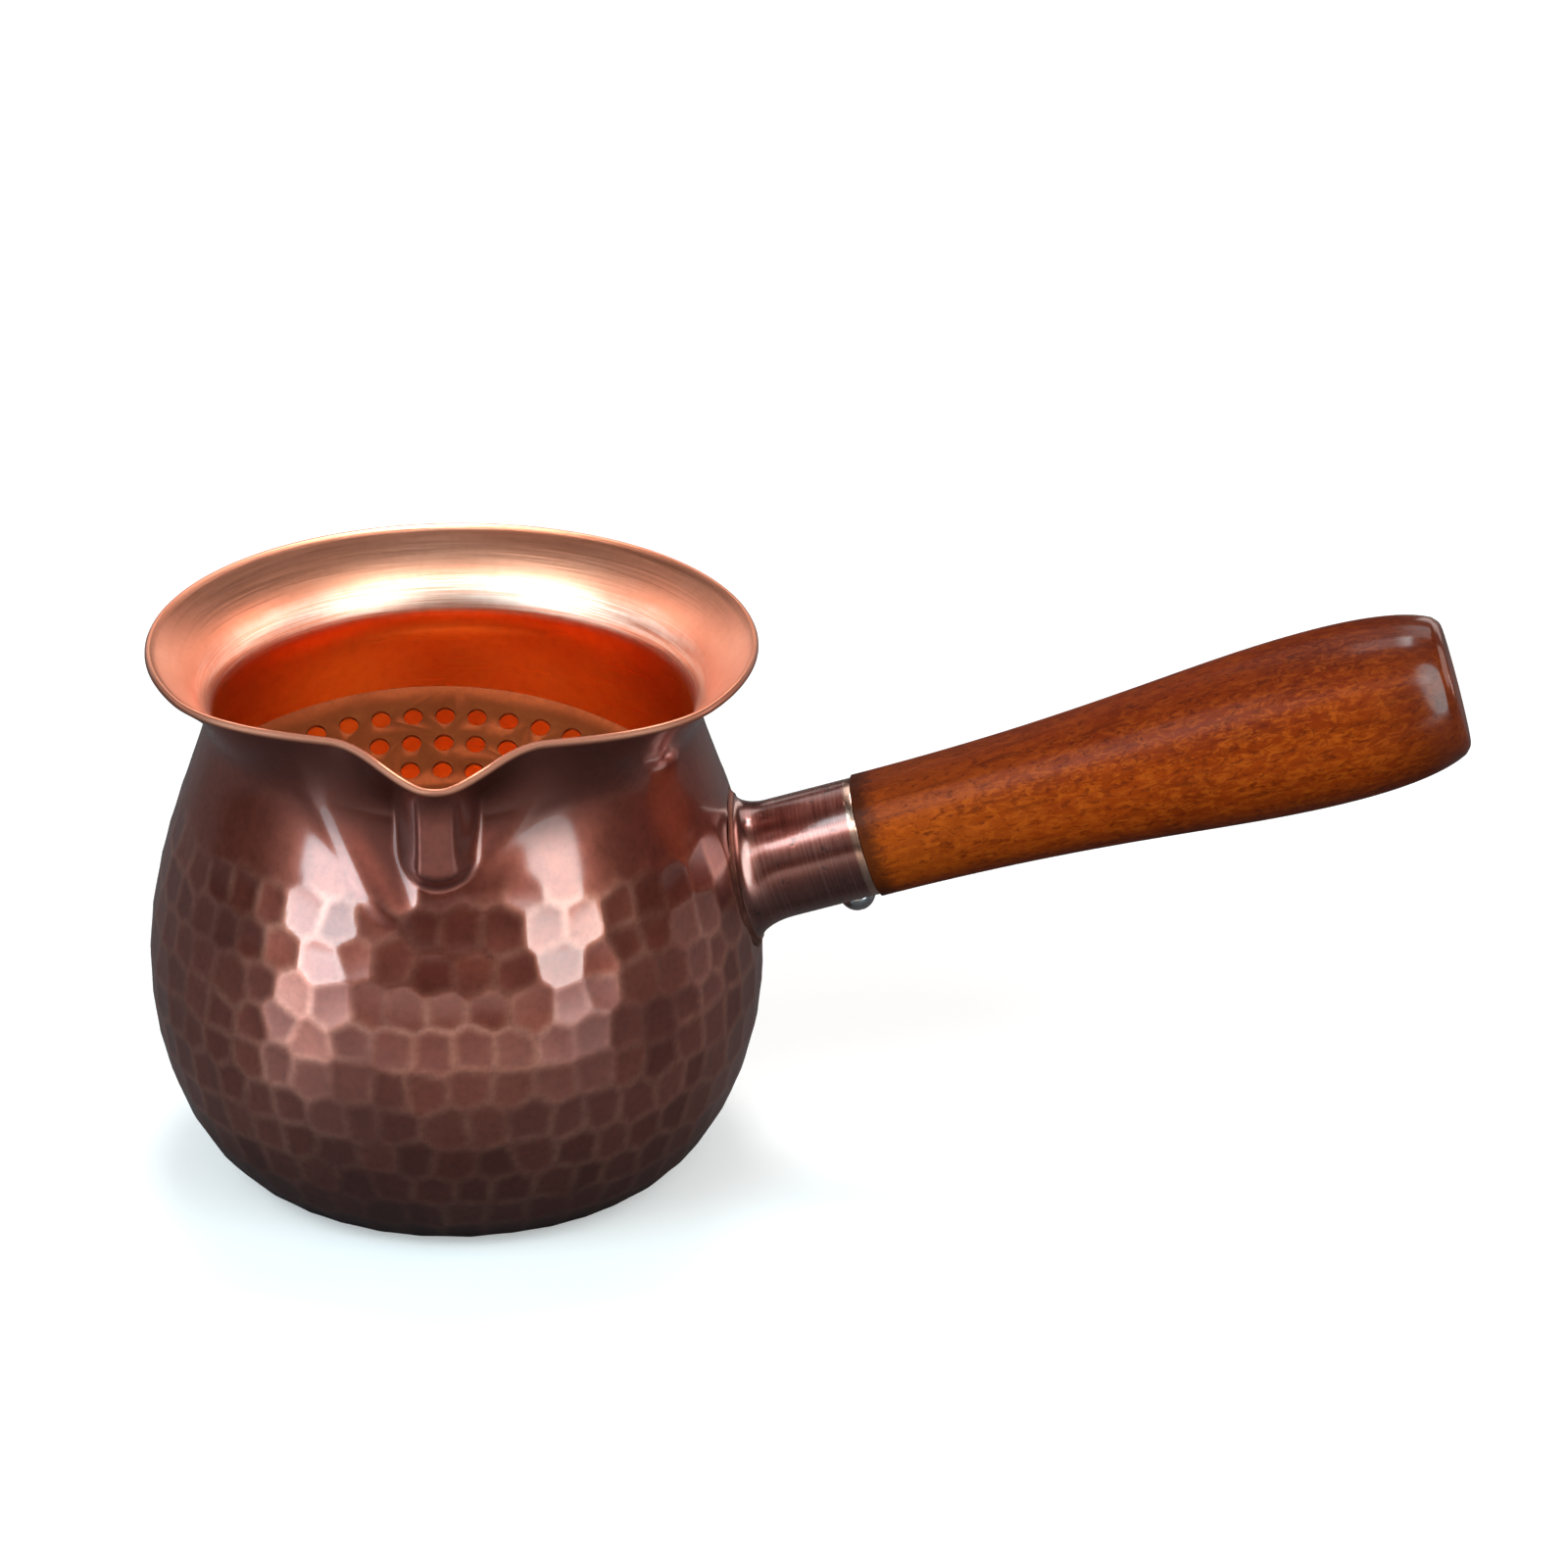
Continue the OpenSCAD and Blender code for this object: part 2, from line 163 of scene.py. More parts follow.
hammering = {
    "ringPitch": 5.9, "markPitch": 5.65, "firstAlong": 0.06, "lastAlong": 1.8, "sideJitter": 0.46,
    "ringJitter": 0.40, "copperPerAlong": 45.0, "hollowing": 0.0142, "hollowingSpread": 0.0014,
    "tilt": 0.010, "level": 0.014, "sunk": 0.11, "snap": 0.31, "crestHalf": 0.95, "neighbours": 6,
    # the marks fade in above the foot's edge, and out at a wavering line on the shoulder
    "footStart": 0.02, "footFade": 0.08, "fadeLow": 54.5, "fadeHigh": 58.5, "fadeWaver": 0.9,
    "waves": ((3, 1.0, 1.1), (7, 0.7, 0.0), (16, 0.5, 2.0)),
}


def roundBowl(along, angle):
    # the raised bowl before its lip is formed: points and outward directions
    def at(part):
        path = bowlOutline(part)
        return np.stack([path[:, 0] * np.sin(angle), -path[:, 0] * np.cos(angle), path[:, 1]], 1)
    run = unitRows(at(along + probe) - at(np.maximum(along - probe, 0)))
    side = np.stack([np.cos(angle), np.sin(angle), np.zeros_like(angle)], 1)
    return at(along), np.cross(side, run)


def hammerSeeds():
    rings = evenSteps(hammering["firstAlong"], hammering["lastAlong"], hammering["ringPitch"])
    seeds = []
    for along in rings:
        r = bowlOutline([along])[0][0]
        count = round(2 * math.pi * r / hammering["markPitch"])
        start = random.random()
        for i in range(count):
            side = random.gauss(0, hammering["sideJitter"]) / r
            lift = random.gauss(0, hammering["ringJitter"]) / hammering["copperPerAlong"]
            turn = 2 * math.pi * (i + start) / count - math.pi + side
            seeds.append([along + lift, turn, random.random(),
                          random.gauss(0, 1), random.gauss(0, 1), random.gauss(0, 1), random.gauss(0, 1)])
    seeds = np.array(seeds)
    at, outward = roundBowl(seeds[:, 0], seeds[:, 1])
    side = np.stack([np.cos(seeds[:, 1]), np.sin(seeds[:, 1]), np.zeros(len(seeds))], 1)
    up = np.cross(outward, side)
    lean = hammering["tilt"] * (seeds[:, 3:4] * side + seeds[:, 4:5] * up)
    return {"at": at, "lean": lean, "tone": seeds[:, 2],
            "hollowing": hammering["hollowing"] + hammering["hollowingSpread"] * seeds[:, 5],
            "level": hammering["level"] * seeds[:, 6]}


def hammered(points, outward):
    # each point takes the lowest of the nearest blows; points by a crest move on to it
    seeds = hammerSeeds()
    tree = kdtree.KDTree(len(seeds["at"]))
    for i, at in enumerate(seeds["at"]):
        tree.insert(at, i)
    tree.balance()
    near = np.array([[n[1] for n in tree.find_n(p, hammering["neighbours"])] for p in points])

    def blows(p):
        away = p[:, None, :] - seeds["at"][near]
        bowlIn = seeds["hollowing"][near]
        depth = bowlIn * (away ** 2).sum(2) + (away * seeds["lean"][near]).sum(2) + seeds["level"][near]
        slope = 2 * bowlIn[..., None] * away + seeds["lean"][near]
        order = np.argsort(depth, axis=1)
        pick = lambda values, k: np.take_along_axis(values, order[:, k:k + 1], 1)[:, 0]
        slopes = [np.take_along_axis(slope, order[:, k:k + 1, None], 1)[:, 0] for k in (0, 1)]
        rise = slopes[0] - slopes[1]
        rise -= (rise * outward).sum(1)[:, None] * outward
        steep = np.maximum(np.linalg.norm(rise, axis=1), 1e-4)
        gap = (pick(depth, 1) - pick(depth, 0)) / steep
        return pick(depth, 0), gap, rise / steep[:, None], pick(seeds["tone"][near], 0)

    depth, gap, direction, tone = blows(points)
    snapped = gap < hammering["snap"]
    moved = points + np.where(snapped, gap, 0)[:, None] * direction
    depth = blows(moved)[0]
    crest = np.where(snapped, 1.0, np.clip(1 - (gap - hammering["snap"]) / hammering["crestHalf"], 0, 1))
    return moved, depth - hammering["sunk"], crest, tone


def meshFrom(name, bm):
    mesh = bpy.data.meshes.new(name)
    bm.to_mesh(mesh)
    bm.free()
    piece = bpy.data.objects.new(name, mesh)
    bpy.context.scene.collection.objects.link(piece)
    mesh.shade_smooth()
    return piece


def chained(bm, points, closed=False):
    # vertices at these points, each joined to the next
    chain = [bm.verts.new(p) for p in points]
    for first, second in zip(chain, chain[1:] + chain[:1] if closed else chain[1:]):
        bm.edges.new((first, second))
    return chain


def spunProfile(bm, steps):
    # spins the vertices and edges in bm once round Z and closes the poles
    bmesh.ops.spin(bm, geom=bm.verts[:] + bm.edges[:], cent=(0, 0, 0), axis=(0, 0, 1), dvec=(0, 0, 0),
                   angle=2 * math.pi, steps=steps, use_merge=True, use_duplicate=False)
    bmesh.ops.remove_doubles(bm, verts=bm.verts[:], dist=1e-6)
    bmesh.ops.recalc_face_normals(bm, faces=bm.faces[:])


def readLayer(mesh, name):
    values = np.zeros(len(mesh.vertices), np.float32)
    mesh.attributes[name].data.foreach_get("value", values)
    return values.astype(float)


def writeLayer(mesh, name, values):
    layer = mesh.attributes.get(name) or mesh.attributes.new(name, "FLOAT", "POINT")
    layer.data.foreach_set("value", np.asarray(values, np.float32))


def easeMarks(mesh, struck, factor):
    # one light smoothing of the struck copper, which rounds the crests between the marks
    bm = bmesh.new()
    bm.from_mesh(mesh)
    bm.verts.ensure_lookup_table()
    bmesh.ops.smooth_vert(bm, verts=[v for v in bm.verts if struck[v.index]], factor=factor,
                          use_axis_x=True, use_axis_y=True, use_axis_z=True)
    bm.to_mesh(mesh)
    bm.free()


def marksOn(along, angle, outward):
    # what the blows do to the outer face: its push, and the crest and tone of each point
    flatAt, flatOut = roundBowl(along, angle)
    waver = sum(size * np.sin(count * angle + start) for count, size, start in hammering["waves"])
    end = hammering["fadeHigh"] + hammering["fadeWaver"] * waver
    share = smoothStep((end - flatAt[:, 2]) / (hammering["fadeHigh"] - hammering["fadeLow"]))
    share *= smoothStep((along + hammering["footStart"]) / hammering["footFade"])
    moved, sink, crest, tone = hammered(flatAt, flatOut)
    push = (moved - flatAt) * share[:, None] + (sink * share)[:, None] * outward
    return push, crest * share, 0.5 + (tone - 0.5) * share


# where painted shade falls on the bowl: under the flare near the lip, and in the pressed hollows
paintedShadeSpread = {"low": 60.0, "rise": 7.0, "side": 62.0, "fade": 34.0, "hollowGain": 2.4, "ribClear": 0.75}


def recessOf(along, angle):
    # where painted shade darkens the copper: in the pressed hollows, and under the flare beside the lip
    outline = bowlOutline(along)
    x, z = outline[:, 0] * np.sin(angle), outline[:, 1]
    throat = smoothStep((z - paintedShadeSpread["low"]) / paintedShadeSpread["rise"])
    throat *= smoothStep((paintedShadeSpread["side"] - np.degrees(np.abs(angle))) / paintedShadeSpread["fade"])
    sunk = smoothStep(paintedShadeSpread["hollowGain"] * hollowShares(x, z)[0])
    dark = np.maximum(sunk, throat) * (1 - paintedShadeSpread["ribClear"] * ribShare(x))
    return np.where(np.cos(angle) > 0, dark, 0)


def bowlRows():
    # rows of the sheet: along, the depth under the outer face, and the bulge of the rim's edge
    outer = np.concatenate([
        np.linspace(-1, 0, bowl["footSteps"])[:-1],
        evenSteps(0, hammering["lastAlong"], bowl["rowStep"])[:-1],
        evenSteps(hammering["lastAlong"], 3, bowl["neckStep"])])
    inner = np.concatenate([
        evenSteps(3, 2, bowl["neckStep"] * bowl["innerCoarser"])[:-1],
        evenSteps(2, 0, bowl["innerStep"])[:-1],
        np.linspace(0, -1, bowl["footSteps"])])
    rim = [(3.0, bowl["wall"] * (1 - math.cos(t)) / 2, math.sin(t))
           for t in np.linspace(0, math.pi, bowl["rimSteps"])[1:-1]]
    return [(a, 0.0, 0.0) for a in outer] + rim + [(a, bowl["wall"], 0.0) for a in inner]


def makeBowl():
    names = ("along", "depth", "edge")
    rows, points = bowlRows(), []
    for along, depth, _ in rows:
        r, z = bowlOutline([along])[0]
        points.append((0, -max(r - depth, 0) if along > -1 else 0, z + depth))
    bm = bmesh.new()
    layers = [bm.verts.layers.float.new(name) for name in names]
    for vertex, row in zip(chained(bm, points), rows):
        for layer, value in zip(layers, row):
            vertex[layer] = value
    spunProfile(bm, bowl["columns"])
    piece = meshFrom("bowl", bm)
    mesh = piece.data
    flat = np.zeros(len(mesh.vertices) * 3, np.float32)
    mesh.vertices.foreach_get("co", flat)
    flat = flat.reshape(-1, 3).astype(float)
    along, depth, edge = (readLayer(mesh, name) for name in names)
    angle = np.arctan2(flat[:, 0], -flat[:, 1])
    at, outward = sheetOfBowl(along, angle, depth, edge)
    struck = (depth < 1e-6) & (along > -0.2) & (along < hammering["lastAlong"])
    crest, tone = np.zeros(len(at)), np.full(len(at), 0.5)
    push, crest[struck], tone[struck] = marksOn(along[struck], angle[struck], outward[struck])
    at[struck] += push
    mesh.vertices.foreach_set("co", (at * mm).astype(np.float32).ravel())
    easeMarks(mesh, struck, bowl["easing"])
    for name, values in (("crest", crest), ("tone", tone), ("shadedRecess", recessOf(along, angle)),
                         ("inside", smoothStep(depth / bowl["wall"])), ("rim", np.clip(along - 2, 0, 1))):
        writeLayer(mesh, name, values)
    for name in names:
        mesh.attributes.remove(mesh.attributes[name])
    mesh.update()
    print("bowl:", len(mesh.vertices), "vertices,", len(mesh.polygons), "faces")
    return piece


# handle line: it starts on the bowl's axis and meets the bowl's face between near and far

handleLine = {"tilt": 16.6, "z": 31.8, "socketEnd": 60.8, "near": 36.0, "far": 52.0}


def handleMatrix(along=0.0):
    turn = Matrix.Rotation(math.radians(90 - handleLine["tilt"]), 4, "Y")
    return Matrix.Translation((0, 0, handleLine["z"] * mm)) @ turn @ Matrix.Translation((0, 0, along * mm))


grip = {
    "length": 85.6, "neckR": 8.85, "peakR": 12.4, "peak": 68.0, "swellStart": 35.0, "swellEnd": 50.0,
    "buttR": 8.2, "shoulder": 1.0, "shoulderW": 1.7, "pullOut": 1.4, "pullBack": 2.6, "dome": 0.3,
    "tenonR": 7.45, "tenonL": 13.0, "gap": 0.03,
    "columns": 128, "bodySteps": 40, "buttSteps": 18, "turnSteps": 9, "domeRings": (0.66, 0.33, 0.0),
    "sharp": 50,
}


def gripProfile():
    # radius and height of the turned grip, from the tenon's end to the middle of the butt
    length, peak, peakR, buttR = grip["length"], grip["peak"], grip["peakR"], grip["buttR"]
    edgeR, edgeZ = buttR + grip["shoulderW"], length - grip["shoulder"]
    body = bezier((grip["neckR"], 0), (grip["neckR"], grip["swellStart"]),
                  (peakR, grip["swellEnd"]), (peakR, peak), np.linspace(0, 1, grip["bodySteps"])[:-1])
    butt = bezier((peakR, peak), (peakR, peak + (length - peak) / 2),
                  (edgeR + grip["pullOut"], edgeZ - grip["pullBack"]), (edgeR, edgeZ),
                  np.linspace(0, 1, grip["buttSteps"])[:-1])
    turn = bezier((edgeR, edgeZ), (edgeR - grip["shoulderW"] / 3, edgeZ + grip["shoulder"] / 2),
                  (buttR + grip["shoulderW"] / 2, length), (buttR, length),
                  np.linspace(0, 1, grip["turnSteps"]))
    dome = [(buttR * s, length + grip["dome"] * (1 - s)) for s in grip["domeRings"]]
    tenon = [(0, -grip["tenonL"]), (grip["tenonR"], -grip["tenonL"]), (grip["tenonR"], 0)]
    return tenon + [tuple(p) for curve in (body, butt, turn) for p in curve] + dome


def makeGrip():
    bm = bmesh.new()
    chained(bm, [(r * mm, 0, z * mm) for r, z in gripProfile()])
    spunProfile(bm, grip["columns"])
    bmesh.ops.transform(bm, verts=bm.verts[:], matrix=handleMatrix(handleLine["socketEnd"] + grip["gap"]))
    piece = meshFrom("grip", bm)
    piece.data.set_sharp_from_angle(angle=math.radians(grip["sharp"]))
    return piece


socket = {
    "outerR": 8.5, "boreR": 7.5, "mouthBreak": 0.25, "skirt": 2.0, "skirtTop": 48.0, "skirtEdge": 0.35,
    "seat": 0.03, "columns": 160, "mouthSteps": 5, "tubeSteps": 8, "skirtSteps": 16,
}
braze = {"start": 10.46, "width": 1.0, "height": 0.42, "sunk": 0.03, "steps": 7}


def reachOfBowl(radius, turn):
    # how far along the handle line a parallel line, at this radius and turn, meets the bowl's outside
    path = bowlOutline(np.linspace(0.05, 2, 800))
    tilt = math.radians(handleLine["tilt"])
    low, high = (np.full(len(radius), handleLine[end]) for end in ("near", "far"))
    for halving in range(30):
        along = (low + high) / 2
        x = along * math.cos(tilt) + radius * np.cos(turn) * math.sin(tilt)
        z = handleLine["z"] + along * math.sin(tilt) - radius * np.cos(turn) * math.cos(tilt)
        inside = np.hypot(x, radius * np.sin(turn)) < np.interp(z, path[:, 1], path[:, 0])
        low, high = np.where(inside, along, low), np.where(inside, high, along)
    return low


def spunOnHandle(name, rows):
    # rows are radius, along and share: share 0 keeps along, and 1 measures it from the bowl's face
    bm = bmesh.new()
    share = bm.verts.layers.float.new("share")
    for vertex, row in zip(chained(bm, [(r, 0, along) for r, along, part in rows], closed=True), rows):
        vertex[share] = row[2]
    spunProfile(bm, socket["columns"])
    radius = np.array([math.hypot(v.co.x, v.co.y) for v in bm.verts])
    turn = np.array([math.atan2(v.co.y, v.co.x) for v in bm.verts])
    for vertex, reach in zip(bm.verts, reachOfBowl(radius, turn)):
        vertex.co.z += vertex[share] * reach
    bmesh.ops.scale(bm, vec=(mm, mm, mm), verts=bm.verts[:])
    bmesh.ops.transform(bm, verts=bm.verts[:], matrix=handleMatrix())
    piece = meshFrom(name, bm)
    piece.data.attributes.remove(piece.data.attributes["share"])
    return piece


def makeSocket():
    # rows run from inside the mouth over its edge, down the tube and out along the skirt to the bowl
    mouth, top = handleLine["socketEnd"], socket["skirtTop"]
    bore, outer, soft = socket["boreR"], socket["outerR"], socket["mouthBreak"]
    rows = [(bore, mouth - 2 * soft, 0), (bore + soft / 3, mouth - soft / 3, 0), (bore + soft, mouth, 0)]
    rows += [(outer - soft * (1 - math.sin(t)), mouth - soft * (1 - math.cos(t)), 0)
             for t in np.linspace(0, math.pi / 2, socket["mouthSteps"])]
    rows += [(outer, along, 0) for along in np.linspace(mouth - 1, top + 1, socket["tubeSteps"])]
    for t in np.linspace(0, math.pi / 2, socket["skirtSteps"]):
        flare, down = 1 - math.cos(t), math.sin(t)
        rows.append((outer + socket["skirt"] * flare, top * (1 - down) + socket["skirtEdge"] * down, down))
    rows += [(outer + socket["skirt"], socket["seat"], 1), (bore, socket["seat"], 1)]
    return spunOnHandle("socket", rows)


def makeBraze():
    # a thin fillet that carries the skirt's edge down on to the bowl
    start, sunk = braze["start"], braze["sunk"]
    rows = [(start + braze["width"] * t, sunk + braze["height"] * (1 - t) ** 2, 1)
            for t in np.linspace(0, 1, braze["steps"])]
    return spunOnHandle("braze_bead", rows + [(start, sunk, 1)])


softened = {
    "strainer": {"node": "strainer_plate", "offset": 0.09, "segments": 2, "sharp": 50},
    "solder_bead": {"node": "strainer_solder", "offset": 0.30, "segments": 3, "sharp": 50},
    "screw": {"node": "handle_screw", "offset": 0.06, "segments": 2, "sharp": 40},
}


def softCopy(name, smoothBelow=35):
    # a copy of a frame node with its triangles joined and its sharp edges eased
    ease = softened[name]
    bm = bmesh.new()
    bm.from_mesh(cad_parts[ease["node"]].data)
    bmesh.ops.remove_doubles(bm, verts=bm.verts[:], dist=2e-6)
    bmesh.ops.dissolve_degenerate(bm, edges=bm.edges[:], dist=1e-6)
    bmesh.ops.dissolve_limit(bm, angle_limit=math.radians(1), verts=bm.verts[:], edges=bm.edges[:])
    limit = math.radians(ease["sharp"])
    edges = [e for e in bm.edges if len(e.link_faces) == 2 and e.calc_face_angle() > limit]
    bmesh.ops.bevel(bm, geom=edges, offset=ease["offset"] * mm, offset_type="OFFSET",
                    segments=ease["segments"], profile=0.5, affect="EDGES", clamp_overlap=True, material=-1)
    piece = meshFrom(name, bm)
    piece.data.set_sharp_from_angle(angle=math.radians(smoothBelow))
    return piece


# material helpers

def newMaterial(name, **sockets):
    material = bpy.data.materials.new(name)
    material.use_nodes = True
    tree = material.node_tree
    tree.nodes.clear()
    out = tree.nodes.new("ShaderNodeOutputMaterial")
    shader = tree.nodes.new("ShaderNodeBsdfPrincipled")
    tree.links.new(shader.outputs["BSDF"], out.inputs["Surface"])
    for key, value in sockets.items():
        shader.inputs[key.replace("_", " ")].default_value = value
    return material, tree, shader


def feed(tree, socket, value):
    if isinstance(value, bpy.types.NodeSocket):
        tree.links.new(value, socket)
    elif value is not None:
        if hasattr(socket.default_value, "__len__") and len(socket.default_value) == 4 and len(value) == 3:
            value = tuple(value) + (1.0,)
        socket.default_value = value


def objectCoordinates(tree, scale=(1, 1, 1), turn=(0, 0, 0), shift=(0, 0, 0)):
    source = tree.nodes.new("ShaderNodeTexCoord")
    place = tree.nodes.new("ShaderNodeMapping")
    place.vector_type = "TEXTURE" if turn != (0, 0, 0) else "POINT"
    tree.links.new(source.outputs["Object"], place.inputs["Vector"])
    place.inputs["Scale"].default_value = scale
    place.inputs["Rotation"].default_value = turn
    place.inputs["Location"].default_value = shift
    return place.outputs["Vector"]


def noise(tree, vector, scale, detail=4.0, rough=0.55, distort=0.0):
    node = tree.nodes.new("ShaderNodeTexNoise")
    feed(tree, node.inputs["Vector"], vector)
    feed(tree, node.inputs["Scale"], scale)
    node.inputs["Detail"].default_value = detail
    node.inputs["Roughness"].default_value = rough
    node.inputs["Distortion"].default_value = distort
    return node.outputs["Fac"]


def attribute(tree, name):
    node = tree.nodes.new("ShaderNodeAttribute")
    node.attribute_name = name
    return node.outputs["Fac"]


def ramp(tree, value, *stops):
    node = tree.nodes.new("ShaderNodeValToRGB")
    feed(tree, node.inputs["Fac"], value)
    elements = node.color_ramp.elements
    while len(elements) < len(stops):
        elements.new(0.5)
    for element, (place, colour) in zip(elements, stops):
        element.position = place
        element.color = tuple(colour) + (1.0,)
    return node.outputs["Color"]


def twoTone(tree, value, tones):
    dark, pale = tones
    return ramp(tree, value, (0.3, dark), (0.7, pale))


def blended(tree, share, first, second, kind="MIX"):
    node = tree.nodes.new("ShaderNodeMix")
    node.data_type = "RGBA"
    node.blend_type = kind
    feed(tree, node.inputs[0], share)
    feed(tree, node.inputs[6], first)
    feed(tree, node.inputs[7], second)
    return node.outputs[2]


def figure(tree, kind, first, second=None, third=None):
    node = tree.nodes.new("ShaderNodeMath")
    node.operation = kind
    for socket, value in zip(node.inputs, (first, second, third)):
        feed(tree, socket, value)
    return node.outputs[0]


def ranged(tree, value, low, high, toLow=0.0, toHigh=1.0):
    node = tree.nodes.new("ShaderNodeMapRange")
    node.interpolation_type = "SMOOTHSTEP"
    feed(tree, node.inputs["Value"], value)
    for key, number in (("From Min", low), ("From Max", high), ("To Min", toLow), ("To Max", toHigh)):
        node.inputs[key].default_value = number
    return node.outputs["Result"]


def bumped(tree, height, strength, distance, normal=None):
    node = tree.nodes.new("ShaderNodeBump")
    node.inputs["Strength"].default_value = strength
    node.inputs["Distance"].default_value = distance
    feed(tree, node.inputs["Height"], height)
    feed(tree, node.inputs["Normal"], normal)
    return node.outputs["Normal"]


def axisOf(tree, vector, axis="Z"):
    split = tree.nodes.new("ShaderNodeSeparateXYZ")
    tree.links.new(vector, split.inputs["Vector"])
    return split.outputs[axis]


def heightOf(tree):
    return axisOf(tree, tree.nodes.new("ShaderNodeTexCoord").outputs["Object"])


def distanceOf(tree, first, second):
    squared = figure(tree, "MULTIPLY", second, second)
    return figure(tree, "SQRT", figure(tree, "MULTIPLY_ADD", first, first, squared))


def alongHandle(tree, across=1.0, along=1.0):
    # coordinates in metres whose Z runs along the handle line from the bowl's axis, then scaled
    turn = (0, math.radians(90 - handleLine["tilt"]), 0)
    return objectCoordinates(tree, (1 / across, 1 / across, 1 / along), turn, (0, 0, handleLine["z"] * mm))


def dress(tree, shader, colour, rough, normal=None):
    for name, value in (("Base Color", colour), ("Roughness", rough), ("Normal", normal)):
        feed(tree, shader.inputs[name], value)


# finishes: colours are linear, heights and reaches are in metres

hammeredLook = {
    "hollow": ((0.15, (0.22, 0.044, 0.028)), (0.55, (0.35, 0.078, 0.049)), (0.9, (0.46, 0.125, 0.082))),
    "crestWearAndSheen": ((0.52, 0.175, 0.118), (0.68, 0.265, 0.180)), "grime": (0.09, 0.018, 0.011),
    # painted shade: the foot colour below its top height, and the recess colour, darken the bowl low down and
    # in its recesses
    "paintedFootShade": (0.06, 0.018, 0.014), "paintedFootShadeTop": 0.022, "shadedRecess": (0.080, 0.024, 0.018),
    "rim": (0.34, 0.130, 0.082), "rimStart": 0.955, "rough": 0.24, "recessRough": 0.16, "rimRough": 0.14,
    "recessBare": 0.75, "rimBare": 0.85,
}


def hammeredCopper():
    # dark in the marks and lighter on their crests, partly from wear and partly a painted highlight, with
    # painted shade near the foot, in the recesses and under the flare, and a glossy coat that recess and rim
    # lack
    look = hammeredLook
    material, tree, shader = newMaterial("hammered_copper", Metallic=0.9, Coat_IOR=1.74, Coat_Roughness=0.12)
    place = objectCoordinates(tree)
    cloud = noise(tree, place, 45, 3)
    grain = noise(tree, place, 900, 5, 0.65)
    mottle = noise(tree, place, 260, 5, 0.6)
    tone, crest, shadedRecess = (attribute(tree, name) for name in ("tone", "crest", "shadedRecess"))
    depthTone = figure(tree, "MULTIPLY_ADD", cloud, 0.9, figure(tree, "MULTIPLY_ADD", tone, 0.5, -0.2))
    patches = ranged(tree, cloud, 0.34, 0.66, 0.22, 0.85)
    # the crests are lighter partly from wear and partly as a painted highlight
    crestWearAndSheenShare = figure(tree, "MULTIPLY", figure(tree, "POWER", crest, 1.6), patches)
    colour = blended(tree, crestWearAndSheenShare, ramp(tree, depthTone, *look["hollow"]), twoTone(tree, mottle, look["crestWearAndSheen"]))
    colour = blended(tree, ranged(tree, grain, 0.35, 0.75, 0.0, 0.3), colour, look["grime"])
    # painted shade: the copper is darkened towards the foot, where it nears the floor
    paintedFootShade = ranged(tree, heightOf(tree), 0.0, look["paintedFootShadeTop"], 0.45, 0.0)
    colour = blended(tree, paintedFootShade, colour, look["paintedFootShade"])
    # painted shade: the recesses and the copper under the flare are darkened
    colour = blended(tree, figure(tree, "MULTIPLY", shadedRecess, 0.8), colour, look["shadedRecess"])
    rim = ranged(tree, attribute(tree, "rim"), look["rimStart"], 1.0)
    colour = blended(tree, rim, colour, look["rim"])
    bare = figure(tree, "MULTIPLY", rim, look["rimBare"])
    bare = figure(tree, "MULTIPLY_ADD", shadedRecess, look["recessBare"], bare)
    coat = figure(tree, "SUBTRACT", 1.0, figure(tree, "MINIMUM", bare, 1.0))
    rough = figure(tree, "MULTIPLY_ADD", shadedRecess, look["recessRough"], look["rough"])
    rough = figure(tree, "MULTIPLY_ADD", rim, look["rimRough"], rough)
    rough = figure(tree, "MULTIPLY_ADD", mottle, 0.14, rough)
    scratches = noise(tree, objectCoordinates(tree, (900, 900, 60), (0.3, 0.5, 0.2)), 1.0, 3, 0.5)
    scratched = bumped(tree, scratches, 0.10, 0.00004)
    dress(tree, shader, colour, rough, bumped(tree, grain, 0.2, 0.00006, scratched))
    feed(tree, shader.inputs["Coat Weight"], coat)
    feed(tree, shader.inputs["Coat Normal"], bumped(tree, mottle, 0.06, 0.00008, scratched))
    return material


insideLook = {
    "deep": ((0.97, 0.32, 0.095), (0.99, 0.50, 0.190)), "flare": ((0.85, 0.292, 0.165), (0.90, 0.382, 0.245)),
    "paintedHighlight": (1.0, 0.77, 0.66), "grime": (0.60, 0.20, 0.09), "bend": (0.0684, 0.0702),
    "paintedHighlightTop": (0.0722, 0.0752), "waver": 0.0026,
}


